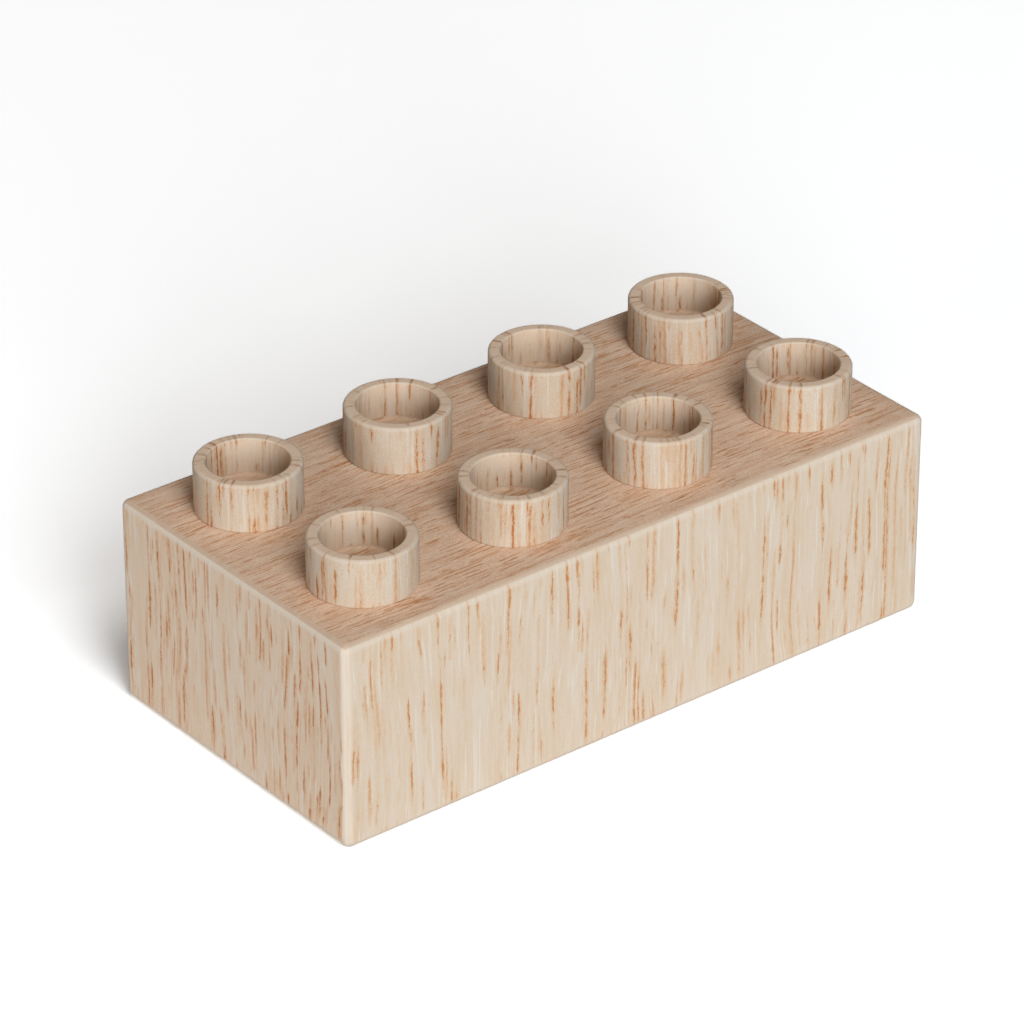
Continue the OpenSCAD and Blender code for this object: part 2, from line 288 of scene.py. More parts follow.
@dataclass
class Graph:
    """A node tree, with a short call for each kind of node that the finishes use.

    Args:
        tree: The tree that the nodes go into.
    """

    tree: bpy.types.NodeTree

    def add(self, kind: str, inputs: dict[str | int, object] | None = None, **settings: object) -> bpy.types.Node:
        """Adds a node.

        Args:
            kind: Blender's name for the kind of node.
            inputs: A socket that feeds each input, or the value that it gets.
            settings: The node's own settings.

        Returns:
            The new node.
        """
        node = self.tree.nodes.new(kind)
        for key, value in settings.items():
            setattr(node, key, value)
        for key, value in (inputs or {}).items():
            self.feed(node.inputs[key], value)
        return node

    def feed(self, socket: Socket, value: object) -> None:
        """Links a socket to an input, or sets the input's value.

        Args:
            socket: The input.
            value: Another node's output, or a number, a vector or a colour as three numbers.
        """
        if isinstance(value, bpy.types.NodeSocket):
            self.tree.links.new(value, socket)
        else:
            socket.default_value = (*value, 1.0) if socket.type == "RGBA" else value

    def math(self, operation: str, *values: Value) -> Socket:
        """Works out one number from two, and then from that and the next where there are more."""
        return reduce(lambda a, b: self.add("ShaderNodeMath", {0: a, 1: b}, operation=operation).outputs[0], values)

    def plus(self, *values: Value) -> Socket:
        """Adds numbers."""
        return self.math("ADD", *values)

    def minus(self, first: Value, second: Value) -> Socket:
        """Takes the second number from the first."""
        return self.math("SUBTRACT", first, second)

    def times(self, *values: Value) -> Socket:
        """Multiplies numbers."""
        return self.math("MULTIPLY", *values)

    def vector(self, operation: str, first: Socket, second: Socket | tuple[float, float, float]) -> Socket:
        """Works out one vector from two."""
        return self.add("ShaderNodeVectorMath", {0: first, 1: second}, operation=operation).outputs[0]

    def scaled(self, vector: Socket, factor: Value) -> Socket:
        """Multiplies a vector by a number."""
        return self.add("ShaderNodeVectorMath", {0: vector, "Scale": factor}, operation="SCALE").outputs[0]

    def xyz(self, x: Value, y: Value, z: Value) -> Socket:
        """Makes a vector of three numbers."""
        return self.add("ShaderNodeCombineXYZ", {0: x, 1: y, 2: z}).outputs[0]

    def parts(self, vector: Socket) -> Sequence[Socket]:
        """Gives a vector's three numbers."""
        return self.add("ShaderNodeSeparateXYZ", {0: vector}).outputs

    def stretch(self, vector: Socket, across: Value, along: Value) -> Socket:
        """Divides the first two coordinates by one length and the third by another, so that a pattern is that long."""
        return self.vector("DIVIDE", vector, self.xyz(across, across, along))

    def noise(self, vector: Socket, detail: float, roughness: float, coloured: bool = False) -> Socket:
        """Gives noise of a feature size of one, from 0 to 1 about 0.5, or its three values as a colour."""
        inputs = {"Vector": vector, "Scale": 1.0, "Detail": detail, "Roughness": roughness}
        return self.add("ShaderNodeTexNoise", inputs, noise_dimensions="3D").outputs[1 if coloured else 0]

    def range(self, value: Socket, low: Value, high: Value, to: Point = (0.0, 1.0)) -> Socket:
        """Maps a value smoothly from low and high to two others, held there outside them."""
        inputs = {0: value, 1: low, 2: high, 3: to[0], 4: to[1]}
        return self.add("ShaderNodeMapRange", inputs, interpolation_type="SMOOTHSTEP", clamp=True).outputs[0]

    def blend(self, factor: Value, first: Colour | Socket, second: Colour | Socket) -> Socket:
        """Mixes two colours."""
        inputs = {0: factor, 6: first, 7: second}
        return self.add("ShaderNodeMix", inputs, data_type="RGBA", blend_type="MIX", clamp_factor=True).outputs[2]

    def group(self, tree: bpy.types.NodeTree, inputs: dict[str, object]) -> Sequence[Socket]:
        """Places a group, feeds its inputs and gives its outputs."""
        return self.add("ShaderNodeGroup", inputs, node_tree=tree).outputs

    def object_place(self) -> Socket:
        """Gives the place on the piece, in metres."""
        return self.add("ShaderNodeTexCoord").outputs["Object"]

    def surface(self, colour: Socket, rough: Socket, height: Socket, strength: float, relief: float,
                fixed: dict[str, float]) -> bpy.types.Node:
        """Adds the shader of a finish, with its bump.

        Args:
            colour: Its colour.
            rough: Its roughness.
            height: The bump's height, 1 for a full relief.
            strength: How strongly the bump shows, from 0 to 1.
            relief: How high a full relief is.
            fixed: The shader's inputs that are the same all over the surface.

        Returns:
            The shader node.
        """
        bump = self.add("ShaderNodeBump", {"Strength": strength, "Distance": relief, "Height": height})
        inputs = {"Base Color": colour, "Roughness": rough, "Normal": bump.outputs["Normal"], **fixed}
        return self.add("ShaderNodeBsdfPrincipled", inputs)


def shaded(owner: bpy.types.Material | bpy.types.World, output: str,
           shader: Callable[[Graph], bpy.types.Node]) -> None:
    """Gives a material or a world its nodes.

    Args:
        owner: The material or world.
        output: Blender's name for its output node.
        shader: Builds the nodes and gives the last of them.
    """
    owner.use_nodes = True
    owner.node_tree.nodes.clear()
    g = Graph(owner.node_tree)
    g.add(output, {"Surface": shader(g).outputs[0]})


def new_group(name: str, inputs: dict[str, float],
              *outputs: str) -> tuple[Graph, dict[str, Socket], bpy.types.bpy_prop_collection]:
    """Starts a shader node group. It always has the input Grain, the place in the timber.

    Args:
        name: The group's name.
        inputs: The other inputs' names and values. All of them are numbers.
        outputs: The outputs' names. One called Grain is a vector, and the others are numbers.

    Returns:
        The group's graph, its inputs by name, and the sockets that its outputs are fed through.
    """
    tree = bpy.data.node_groups.new(name, "ShaderNodeTree")
    for way, keys in (("INPUT", ("Grain", *inputs)), ("OUTPUT", outputs)):
        for key in keys:
            kind = "NodeSocketVector" if key == "Grain" else "NodeSocketFloat"
            socket = tree.interface.new_socket(key, in_out=way, socket_type=kind)
            if key in inputs:
                socket.default_value = inputs[key]
    graph = Graph(tree)
    start, end = graph.add("NodeGroupInput"), graph.add("NodeGroupOutput")
    return graph, {key: start.outputs[key] for key in ("Grain", *inputs)}, end.inputs


@dataclass(frozen=True)
class Vessels:
    """How one timber's vessels show.

    Args:
        spacing: Between lanes, as the size of a cell across the grain.
        width: Half the width of a streak.
        length: Of the noise that breaks a lane into streaks.
        amount: How many there are, from 0 to 1.
        fray: How ragged they are.
    """

    spacing: float = 5.2 * MM
    width: float = 1.0 * MM
    length: float = 26 * MM
    amount: float = 0.5
    fray: float = 1.0

    def inputs(self) -> dict[str, float]:
        """Gives the values under the names of the group's inputs."""
        return {name.capitalize(): value for name, value in asdict(self).items()}


@cache
def drift_group() -> bpy.types.NodeTree:
    """Bends the grain: a slow drift across it, and a quick ripple, both from noise that is longer than it is wide.

    Returns:
        A group that puts out Grain, the place in the timber with the drift added across the grain.
    """
    g, at, out = new_group("Grain drift", {"Drift": 3 * MM, "Ripple": 0.3 * MM}, "Grain")
    moves = []
    for across, along, roughness, reach in (
        (55 * MM, 110 * MM, 0.4, at["Drift"]),
        (5 * MM, 15 * MM, 0.5, at["Ripple"]),
    ):
        noise = g.noise(g.stretch(at["Grain"], across, along), 1.0, roughness, coloured=True)
        moves.append(g.scaled(g.vector("SUBTRACT", noise, (0.5, 0.5, 0.5)), g.times(reach, 4.0)))
    sideways = g.vector("MULTIPLY", g.vector("ADD", *moves), (1.0, 1.0, 0.0))
    g.feed(out["Grain"], g.vector("ADD", at["Grain"], sideways))
    return g.tree


@cache
def figure_group() -> bpy.types.NodeTree:
    """Builds the figure of a plank: wide bands, narrower streaks, fine fibres and flecks, all long in the grain.

    Returns:
        A group that puts out Band, Streak, Fibre and Fleck, each from 0 to 1.
    """
    g, at, out = new_group("Timber figure", {"Band width": 14 * MM, "Streak width": 3.2 * MM, "Fibre width": 0.9 * MM},
                           "Band", "Streak", "Fibre", "Fleck")
    for name, across, along, detail, roughness, swing in (
        ("Band", at["Band width"], 120 * MM, 1.5, 0.45, 0.17),
        ("Streak", at["Streak width"], 48 * MM, 2.0, 0.55, 0.2),
        ("Fibre", at["Fibre width"], 18 * MM, 2.0, 0.6, 0.22),
        ("Fleck", 0.55 * MM, 1.3 * MM, 1.0, 0.5, 0.25),
    ):
        noise = g.noise(g.stretch(at["Grain"], across, along), detail, roughness)
        g.feed(out[name], g.range(noise, 0.5 - swing, 0.5 + swing))
    return g.tree


@cache
def vessel_group() -> bpy.types.NodeTree:
    """Builds the vessels of open-pored wood: lanes along the grain that come and go.

    Each cell of a flat cell pattern, seen across the grain, is one lane, a tube about the cell's point. Noise along
    the grain, read at a place of the lane's own, sets how wide the tube is there, and nothing is left of it where
    that is low. Where the drifting tube meets the surface it shows as a streak; fine noise frays it.

    Returns:
        A group that puts out Core, the middle of a streak, and Halo, the stain round it, each from 0 to 1.
    """
    g, at, out = new_group("Vessels", Vessels().inputs(), "Core", "Halo")
    lanes = g.add("ShaderNodeTexVoronoi", {"Vector": g.stretch(at["Grain"], at["Spacing"], 1.0), "Scale": 1.0},
                  voronoi_dimensions="2D", feature="F1").outputs
    own = g.parts(lanes["Color"])
    height = g.math("DIVIDE", g.parts(at["Grain"])[2], at["Length"])
    along_lane = g.noise(g.xyz(g.times(own[0], LANE_SPREAD), g.times(own[1], LANE_SPREAD), height), 1.5, 0.5)
    # The lane opens where the noise is above low, which is lower for a larger amount and differs from lane to lane.
    low = g.plus(g.minus(0.66, g.times(at["Amount"], 0.34)), g.times(own[2], 0.14))
    width = g.range(along_lane, low, g.plus(low, 0.2))
    # Fine noise frays the streak, and longer noise leaves gaps in it.
    fray = g.noise(g.stretch(at["Grain"], 0.5 * MM, 1.8 * MM), 1.0, 0.5)
    gap = g.noise(g.stretch(at["Grain"], 1.5 * MM, 6 * MM), 1.0, 0.5)
    ragged = g.plus(g.times(g.minus(fray, 0.5), 1.5), g.times(g.minus(gap, 0.5), 2.0))
    # Distances are in cells, and the width stays above nothing so that they can be divided by it.
    half = g.times(g.math("DIVIDE", at["Width"], at["Spacing"]), g.math("MAXIMUM", width, 0.02))
    reach = g.plus(g.math("DIVIDE", lanes["Distance"], half), g.times(ragged, at["Fray"]))
    strong = g.range(own[0], 0.0, 0.55, (0.3, 1.0))
    g.feed(out["Core"], g.times(g.range(reach, 0.3, 1.2, (1.0, 0.0)), width, strong))
    g.feed(out["Halo"], g.times(g.range(reach, 0.5, 3.4, (1.0, 0.0)), width))
    return g.tree


@cache
def edge_wear_and_shading_group() -> bpy.types.NodeTree:
    """Builds the mask of rounded edges, a little broken up along the edge, for hand polish and painted edge light.

    Returns:
        A group that puts out Wear, from 0 to 1.
    """
    g, at, out = new_group("Edge wear", {"Edge": 0.0}, "Wear")
    patchy = g.noise(g.stretch(at["Grain"], 6 * MM, 12 * MM), 3.0, 0.6)
    g.feed(out["Wear"], g.times(at["Edge"], g.range(patchy, 0.2, 0.6, (0.72, 1.0))))
    return g.tree


# --- Finishes ---


@dataclass(frozen=True)
class Finish:
    """What the finishes share. Colours are linear.

    Args:
        name: The material's name.
    """

    name: str

    def shader(self, g: Graph) -> bpy.types.Node:
        """Builds the finish's nodes and gives its shader."""
        raise NotImplementedError

    @cache
    def material(self) -> bpy.types.Material:
        """Builds the material once for all the pieces that it dresses.

        Returns:
            The material.
        """
        material = bpy.data.materials.new(self.name)
        shaded(material, "ShaderNodeOutputMaterial", self.shader)
        return material


@dataclass(frozen=True)
class WoodFinish(Finish):
    """One timber with a clear satin finish.

    Args:
        slot: The record's slot. It is not used.
        pale: The ground colour.
        tan: The colour of the darker bands and streaks.
        halo: The stain round a pore.
        pore: The inside of a pore.
        ray: The colour of the pale lines between the pores.
        worn: The colour over a rounded edge: hand polish, and painted light where the rounding faces the lamps.
        cut: The colour where the grain is cut across.
        pores: How its vessels show.
        rays: How its pale lines show.
        band_width: Across a wide band.
        streak_width: Across a narrow streak.
        drift: How far the grain wanders.
        fleck: How strongly the fine flecks show.
        wear: How strongly that edge colour shows, from 0 to 1.
        roughness: Of the flat between the pores.
        relief: Depth of a pore.
    """

    slot: str
    pale: Colour
    tan: Colour
    halo: Colour
    pore: Colour
    ray: Colour
    worn: Colour
    cut: Colour
    pores: Vessels
    rays: Vessels = Vessels(2.1 * MM, 0.32 * MM, 70 * MM, 0.85, 0.6)
    band_width: float = 14 * MM
    streak_width: float = 3.2 * MM
    drift: float = 3 * MM
    fleck: float = 0.5
    wear: float = 0.3
    roughness: float = 0.62
    relief: float = 0.14 * MM

    def vessels(self, g: Graph, grain: Socket, kind: Vessels, cut: Socket) -> Sequence[Socket]:
        """Places the vessel group with one kind's sizes, and fewer of them where the grain is cut across."""
        amount = g.minus(kind.amount, g.times(cut, 0.25))
        return g.group(vessel_group(), {"Grain": grain, **kind.inputs(), "Amount": amount})

    def shader(self, g: Graph) -> bpy.types.Node:
        """Builds the wood: figure, pale lines, pores, and polish with painted light on edges over the ground colour,
        with matching bump.

        Args:
            g: The material's graph.

        Returns:
            The shader node.
        """
        place, edge, cut = (g.add("ShaderNodeAttribute", attribute_name=name).outputs[kind]
                            for name, kind in (("grain", "Vector"), ("edge", "Fac"), ("cut", "Fac")))
        grain = g.group(drift_group(), {"Grain": place, "Drift": self.drift})["Grain"]
        widths = {"Band width": self.band_width, "Streak width": self.streak_width}
        figure = g.group(figure_group(), {"Grain": grain, **widths})
        pores = self.vessels(g, grain, self.pores, cut)
        rays = self.vessels(g, g.vector("ADD", grain, RAY_SHIFT), self.rays, cut)["Halo"]
        # Rounded edges take the edge colour, for hand polish and painted light: paler as a painted highlight on some
        # finishes,
        # darker as painted shade on others. Pores fade under it.
        wear = g.group(edge_wear_and_shading_group(), {"Grain": grain, "Edge": edge})["Wear"]
        beyond_wear_and_shading = g.minus(1.0, g.times(wear, self.wear))

        tone = g.plus(*(g.times(figure[name], share) for name, share in TONE.items()),
                      g.times(g.minus(figure["Fleck"], 0.5), self.fleck))
        colour = g.blend(tone, self.pale, self.tan)
        for amount, over in (
            (g.times(cut, g.minus(0.88, g.times(figure["Fibre"], 0.26))), self.cut),
            (g.times(rays, 0.75), self.ray),
            (g.times(pores["Halo"], 0.7, beyond_wear_and_shading), self.halo),
            (g.times(pores["Core"], beyond_wear_and_shading), self.pore),
            (g.times(wear, self.wear), self.worn),
        ):
            colour = g.blend(amount, colour, over)

        rough = g.plus(self.roughness, g.times(pores["Core"], 0.16), g.times(figure["Fibre"], 0.06))
        height = g.plus(g.times(pores["Core"], beyond_wear_and_shading, -1.0), g.times(figure["Fibre"], 0.2), g.times(rays, 0.15))
        return g.surface(colour, g.minus(rough, g.times(wear, 0.1)), height, 0.6, self.relief, SATIN)


@dataclass(frozen=True)
class PlywoodFinish(Finish):
    """Thin plywood whose plies show as lines on its edges.

    Args:
        slot: The record's slot. It is not used.
        face: The colour of a ply that runs along.
        end: The colour of a ply that runs across.
        ply: The thickness of a ply.
    """

    slot: str
    face: Colour
    end: Colour
    ply: float = 1.4 * MM

    def shader(self, g: Graph) -> bpy.types.Node:
        """Builds the plywood: plies by height, with fibres in both directions.

        Args:
            g: The material's graph.

        Returns:
            The shader node.
        """
        place = g.object_place()
        layer = g.range(g.math("PINGPONG", g.math("DIVIDE", g.parts(place)[2], self.ply), 1.0), 0.42, 0.58)
        figure = g.group(figure_group(), {"Grain": place, "Band width": 9 * MM, "Streak width": 2.2 * MM})
        colour = g.blend(layer, self.face, self.end)
        colour = g.blend(g.times(figure["Streak"], 0.35), colour, self.end)
        colour = g.blend(g.times(figure["Fibre"], 0.2), colour, self.face)
        rough = g.plus(0.62, g.times(layer, 0.12))
        return g.surface(colour, rough, figure["Fibre"], 0.5, 0.08 * MM, {"IOR": 1.46})


@dataclass(frozen=True)
class SteelFinish(Finish):
    """Zinc-plated steel with fine turning marks.

    Args:
        bright: The colour of the bright parts.
        dull: The colour of the dull ones.
        roughness: Of the bright parts.
    """

    bright: Colour
    dull: Colour
    roughness: float = 0.34

    def shader(self, g: Graph) -> bpy.types.Node:
        """Builds the steel: bright metal, cloudy in colour and roughness.

        Args:
            g: The material's graph.

        Returns:
            The shader node.
        """
        place = g.object_place()
        cloud = g.noise(g.stretch(place, 2.4 * MM, 2.4 * MM), 4.0, 0.6)
        scratch = g.noise(g.stretch(place, 0.9 * MM, 0.12 * MM), 2.0, 0.6)
        colour = g.blend(g.range(cloud, 0.35, 0.7), self.bright, self.dull)
        rough = g.plus(self.roughness, g.times(cloud, 0.22))
        return g.surface(colour, rough, scratch, 0.3, 0.02 * MM, {"Metallic": 1.0})


# The front and back walls. Its edge colour is a little paler than its ground: hand polish, and a painted highlight
# along the rounded edges.
WALL_WOOD = WoodFinish(
    "Oiled pale wood, front and back", "wall_wood",
    pale=(0.69, 0.612, 0.525), tan=(0.655, 0.52, 0.385), halo=(0.645, 0.43, 0.255), pore=(0.55, 0.25, 0.10),
    ray=(0.725, 0.675, 0.605), worn=(0.71, 0.64, 0.555), cut=(0.50, 0.37, 0.27),
    pores=Vessels(4.6 * MM, 0.86 * MM, 55 * MM, 1.0, 1.5), streak_width=3.0 * MM, drift=4 * MM, wear=0.5,
)
# A copy of the wall wood for the two short walls, painted paler: painted light that makes up for the weaker lamp light
# on the left side. Its edge colour is darker than its ground: painted shade on the upright corners, which the front
# lamps light.
SIDE_WOOD_PAINTED_PALER = WoodFinish(
    "Oiled pale wood, sides", "wall_wood",
    pale=(0.82, 0.738, 0.635), tan=(0.78, 0.605, 0.448), halo=(0.715, 0.44, 0.255), pore=(0.58, 0.24, 0.10),
    ray=(0.83, 0.78, 0.715), worn=(0.72, 0.66, 0.58), cut=(0.50, 0.37, 0.27),
    pores=Vessels(3.4 * MM, 0.8 * MM, 36 * MM, 1.02, 1.3), streak_width=2.6 * MM, drift=3.5 * MM, wear=0.8,
)
# Its edge colour paints a pale band on the rim's roundings: hand polish, and a painted highlight.
STUD_WOOD = WoodFinish(
    "Oiled pale wood, studs", "stud_wood",
    pale=(0.63, 0.57, 0.49), tan=(0.60, 0.475, 0.35), halo=(0.59, 0.39, 0.235), pore=(0.47, 0.195, 0.075),
    ray=(0.67, 0.63, 0.575), worn=(0.67, 0.61, 0.535), cut=(0.90, 0.68, 0.51),
    pores=Vessels(3.4 * MM, 0.88 * MM, 40 * MM, 1.1, 1.5), drift=1.8 * MM, fleck=1.1,
)
# Its edge colour is darker than its ground: painted shade on the rounded edges, so that where a rounding faces the
# lamps
# it shows no lighter than the flat.
TOP_WOOD = WoodFinish(
    "Oiled tan wood, top", "top_wood",
    pale=(0.87, 0.675, 0.52), tan=(0.73, 0.475, 0.325), halo=(0.665, 0.375, 0.21), pore=(0.53, 0.225, 0.09),
    ray=(0.85, 0.685, 0.55), worn=(0.60, 0.475, 0.365), cut=(0.50, 0.35, 0.245),
    pores=Vessels(1.5 * MM, 0.40 * MM, 20 * MM, 1.0, 1.1), rays=Vessels(1.8 * MM, 0.36 * MM, 30 * MM, 0.85, 0.6),
    band_width=7 * MM, streak_width=1.6 * MM, drift=2 * MM, fleck=1.2, wear=0.8,
)
# Its edge colour is a little paler than its ground: a painted highlight on the coves.
FLOOR_WOOD = WoodFinish(
    "Oiled tan wood, stud floors", "floor_wood",
    pale=(0.72, 0.55, 0.41), tan=(0.59, 0.40, 0.265), halo=(0.56, 0.34, 0.19), pore=(0.44, 0.20, 0.09),
    ray=(0.74, 0.59, 0.46), worn=(0.72, 0.58, 0.45), cut=(0.50, 0.36, 0.26),
    pores=Vessels(2.6 * MM, 0.7 * MM, 26 * MM, 0.8), band_width=8 * MM, drift=2 * MM,
)
INNER_WOOD = WoodFinish(
    "Planed pale wood, underside", "inner_wood",
    pale=(0.68, 0.54, 0.40), tan=(0.60, 0.43, 0.285), halo=(0.54, 0.33, 0.18), pore=(0.40, 0.19, 0.085),
    ray=(0.70, 0.58, 0.45), worn=(0.71, 0.59, 0.46), cut=(0.48, 0.34, 0.22),
    pores=Vessels(3.2 * MM, 0.7 * MM, 28 * MM, 0.7), band_width=8 * MM, streak_width=2.4 * MM, roughness=0.68,
)
PLYWOOD = PlywoodFinish("Sanded plywood", "plywood", face=(0.56, 0.40, 0.24), end=(0.36, 0.21, 0.10))
STEEL = SteelFinish("Plated screw steel", bright=(0.56, 0.56, 0.57), dull=(0.4032, 0.4032, 0.4104))


# --- The block ---


@dataclass
class Shell:
    """Patches welded into one closed piece.

    Args:
        node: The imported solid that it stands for, from which it gets its name.
        grain: The direction of its grain, for patches that bring no grain of their own.
        seed: A number that gives the piece its own place in the timber.
        patches: Its surfaces.
    """

    node: str
    grain: Grain
    seed: int
    patches: list[Patch]

    def mesh(self, name: str) -> bpy.types.Mesh:
        """Joins the patches into one mesh with the three attributes, not yet welded.

        Args:
            name: The mesh's name.

        Returns:
            The mesh.
        """
        shift = np.random.default_rng(int(self.seed)).uniform(-TIMBER_SIZE, TIMBER_SIZE, 3)
        points = np.concatenate([p.points.reshape(-1, 3) for p in self.patches])
        grain = np.concatenate([(self.grain.place(p.points) if p.grain is None else p.grain).reshape(-1, 3)
                                for p in self.patches])
        starts = np.cumsum([0] + [p.points[..., 0].size for p in self.patches[:-1]])
        faces = np.concatenate([p.faces() + start for p, start in zip(self.patches, starts)])
        mesh = bpy.data.meshes.new(name)
        mesh.from_pydata(points, [], faces.tolist())
        mesh.attributes.new("grain", "FLOAT_VECTOR", "POINT").data.foreach_set("vector", (grain + shift).ravel())
        for mask, values in (("edge", [p.spread(p.edge) for p in self.patches]),
                             ("cut", [p.spread(p.cut) for p in self.patches])):
            mesh.attributes.new(mask, "FLOAT", "POINT").data.foreach_set("value", np.concatenate(values))
        return mesh

    def build(self, finish: WoodFinish | PlywoodFinish, crease: float = CREASE) -> None:
        """Welds the patches, turns the faces outwards, dresses the piece and puts it in its solid's place.

        Args:
            finish: What it is made of.
            crease: The angle in degrees past which an edge is shaded as a crease.
        """
        name = self.node.capitalize()
        mesh = self.mesh(name)
        work = bmesh.new()
        work.from_mesh(mesh)
        bmesh.ops.remove_doubles(work, verts=work.verts, dist=WELD)
        bmesh.ops.dissolve_degenerate(work, edges=work.edges, dist=WELD)
        bmesh.ops.recalc_face_normals(work, faces=work.faces)
        open_edges = sum(not e.is_manifold for e in work.edges)
        if open_edges:
            log.warning("%s has %d open edges", name, open_edges)
        work.to_mesh(mesh)
        work.free()
        mesh.shade_smooth()
        mesh.set_sharp_from_angle(angle=math.radians(crease))
        mesh.materials.append(finish.material())
        obj = bpy.data.objects.new(name, mesh)
        bpy.context.scene.collection.objects.link(obj)
        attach(obj, BODY)
        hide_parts(self.node)
        log.info("%s: %d points, %d faces", name, len(mesh.vertices), len(mesh.polygons))


@dataclass(frozen=True)
class Block:
    """The sizes that the assemblies share, and the grid of studs: four columns from the left, two rows from the front.

    foot_gap is how far above the ground the rails, posts and tubes end. The countersinks of the screws are given by
    the radius of their mouth, their depth and the radius of the hole.
    """

    length: float = 499.5 * MM
    width: float = 249.5 * MM
    height: float = 154 * MM
    board: float = 15 * MM
    foot_gap: float = 4 * MM
    pitch: float = 125 * MM
    columns: int = 4
    rows: tuple[tuple[str, int], ...] = (("front", -1), ("back", 1))
    ends: tuple[tuple[str, int], ...] = (("left", -1), ("right", 1))
    sink_radius: float = 5.1 * MM
    sink_depth: float = 3 * MM
    hole_radius: float = 2.6 * MM

    @property
    def under(self) -> float:
        """The height of the top board's lower face."""
        return self.height - self.board

    def sizes(self, side: Side, inset: float = 0.0) -> Point:
        """Gives a wall's length and the box's size from it to the wall opposite, both less an inset at each end."""
        along, across = self.length - 2 * inset, self.width - 2 * inset
        return (along, across) if side.is_long() else (across, along)

    def column_x(self, column: int) -> float:
        """Gives the place of a column of studs, counted from 1."""
        return (column - (self.columns + 1) / 2) * self.pitch

    def studs(self) -> list[tuple[str, Point]]:
        """Gives each stud's name and centre."""
        return [(f"{row}_{column}", (self.column_x(column), side * self.pitch / 2))
                for row, side in self.rows for column in range(1, self.columns + 1)]


@dataclass(frozen=True)
class BoxShell(Block):
    """The four walls and the top board, mitred so that no end grain and no joint shows on a face."""

    edge_radius: float = 6 * MM
    foot_bevel: float = 3 * MM
    seat_radius: float = 23.2 * MM
    edge_reach: float = 1.2 * MM
    arc_steps: int = 9
    cell_steps: int = 12
    long_points: int = 25
    short_points: int = 13
    face_points: int = 11
    inner_points: int = 9

    def turns(self, side: Side, flat: Array) -> tuple[Array, Array]:
        """Gives the columns of an outer face from mitre to mitre.

        Args:
            side: The wall.
            flat: Places along the flat between its rounded edges.

        Returns:
            The turn of each column about the upright edge, from -45 to 45 degrees, and its share of the flat, -1 to 1.
        """
        turn = np.radians(np.linspace(0.0, 45.0, self.arc_steps + 1))[1:]
        end = np.ones(len(turn))
        share = flat / (self.sizes(side)[0] / 2 - self.edge_radius)
        return np.concatenate([-turn[::-1], np.zeros(len(flat)), turn]), np.concatenate([-end, share, end])

    def outer(self, side: Side, angle: Array, share: Array, lift: Array | float, middle: Array | float) -> Array:
        """Gives points of the outer skin, still in front: a box whose edges and corners are rounded with one radius.

        The point is c + r n. c is the corner of the inner box that it belongs to, and n is the direction
        (sin a cos b, -cos a cos b, sin b), with a the column's turn and b the row's lift.

        Args:
            side: The wall.
            angle: Each column's turn.
            share: Each column's share of the flat.
            lift: The rows' lift: a grid, a column or one number.
            middle: The height of c: a column or one number.

        Returns:
            Rows by columns by 3.
        """
        span, depth = self.sizes(side)
        r = self.edge_radius
        x = share * (span / 2 - r) + r * np.sin(angle) * np.cos(lift)
        y = -depth / 2 + r - r * np.cos(angle) * np.cos(lift)
        return grid_points(x, y, middle + r * np.sin(lift))

    def inner(self, side: Side, share: Array, behind: float, heights: Sequence[float]) -> Array:
        """Gives rows of points so far behind the outer face, each shortened by the mitre at both ends."""
        span, depth = self.sizes(side)
        return grid_points(share * (span / 2 - behind), -depth / 2 + behind, np.array(heights)[:, None])

    def edge_mask(self, side: Side, points: Array) -> Array:
        """Gives the edge mask of points on the outer skin, still in front.

        It is 1 in the middle of a rounded edge and fades to 0 a little way onto the flats. The measure is how far a
        point lies past the start of two roundings at once.

        Args:
            side: The wall.
            points: Points of the wall or the board.

        Returns:
            The mask, rows by columns.
        """
        span, depth = self.sizes(side)
        low = self.edge_radius + self.edge_reach
        past = np.stack([
            (np.abs(points[..., 0]) - (span / 2 - low)) / low,
            (np.abs(points[..., 1]) - (depth / 2 - low)) / low,
            np.maximum(points[..., 2] - (self.height - low), low - points[..., 2]) / low,
        ], axis=-1)
        return (2 * np.sort(past, axis=-1)[..., 1]).clip(0.0, 1.0) ** 2

    def wall(self, side: Side) -> None:
        """Builds one wall: its outer skin, foot, inner face and mitres.

        The grain follows the outer skin: across is the length along the wall, with r times the turn at its ends, and
        along is the height, with r times the lift on the rounded edges.

        Args:
            side: Which wall.
        """
        span, depth = self.sizes(side)
        r, high = self.edge_radius, self.height
        reach = span / 2 - r
        points_along = self.long_points if side.is_long() else self.short_points
        angle, share = self.turns(side, held(-reach, reach, self.edge_reach, points_along))
        low = np.radians(np.linspace(-90.0, 0.0, 2 * self.arc_steps + 1))[:, None]
        up = held(r, high - r, self.edge_reach, self.face_points)[1:-1, None]
        lift = np.linspace(0.0, 1.0, self.arc_steps + 1)[:, None] * np.arctan(np.cos(angle))
        foot = self.outer(side, angle, share, low, r)
        face = self.outer(side, angle, share, 0.0, up)
        crown = self.outer(side, angle, share, lift, high - r)
        back = self.inner(side, share, self.board, np.linspace(self.under, self.foot_bevel, self.inner_points))
        sole = self.inner(side, share, self.board - self.foot_bevel, [0.0])
        points = np.concatenate([foot, face, crown, back, sole])
        crown_start, skin = len(foot) + len(face), len(foot) + len(face) + len(crown)

        edge, cut = self.edge_mask(side, points), np.zeros(points.shape[:2])
        edge[skin:] = 0.0
        cut[:len(foot)] = np.sin(low) ** 2
        cut[-1] = 1.0
        across, along = points[..., 0].copy(), points[..., 2].copy()
        across[:skin] = share * reach + r * angle
        along[:len(foot)] = r + r * low
        along[crown_start:skin] = high - r + r * lift
        patches = [Patch(points, edge, grid_points(across, -depth / 2, along), cut, rows_meet=True)]
        patches += [Patch.fan(points[:, end], edge[:, end]) for end in (0, -1)]
        patches = [patch.turn(side) for patch in patches]
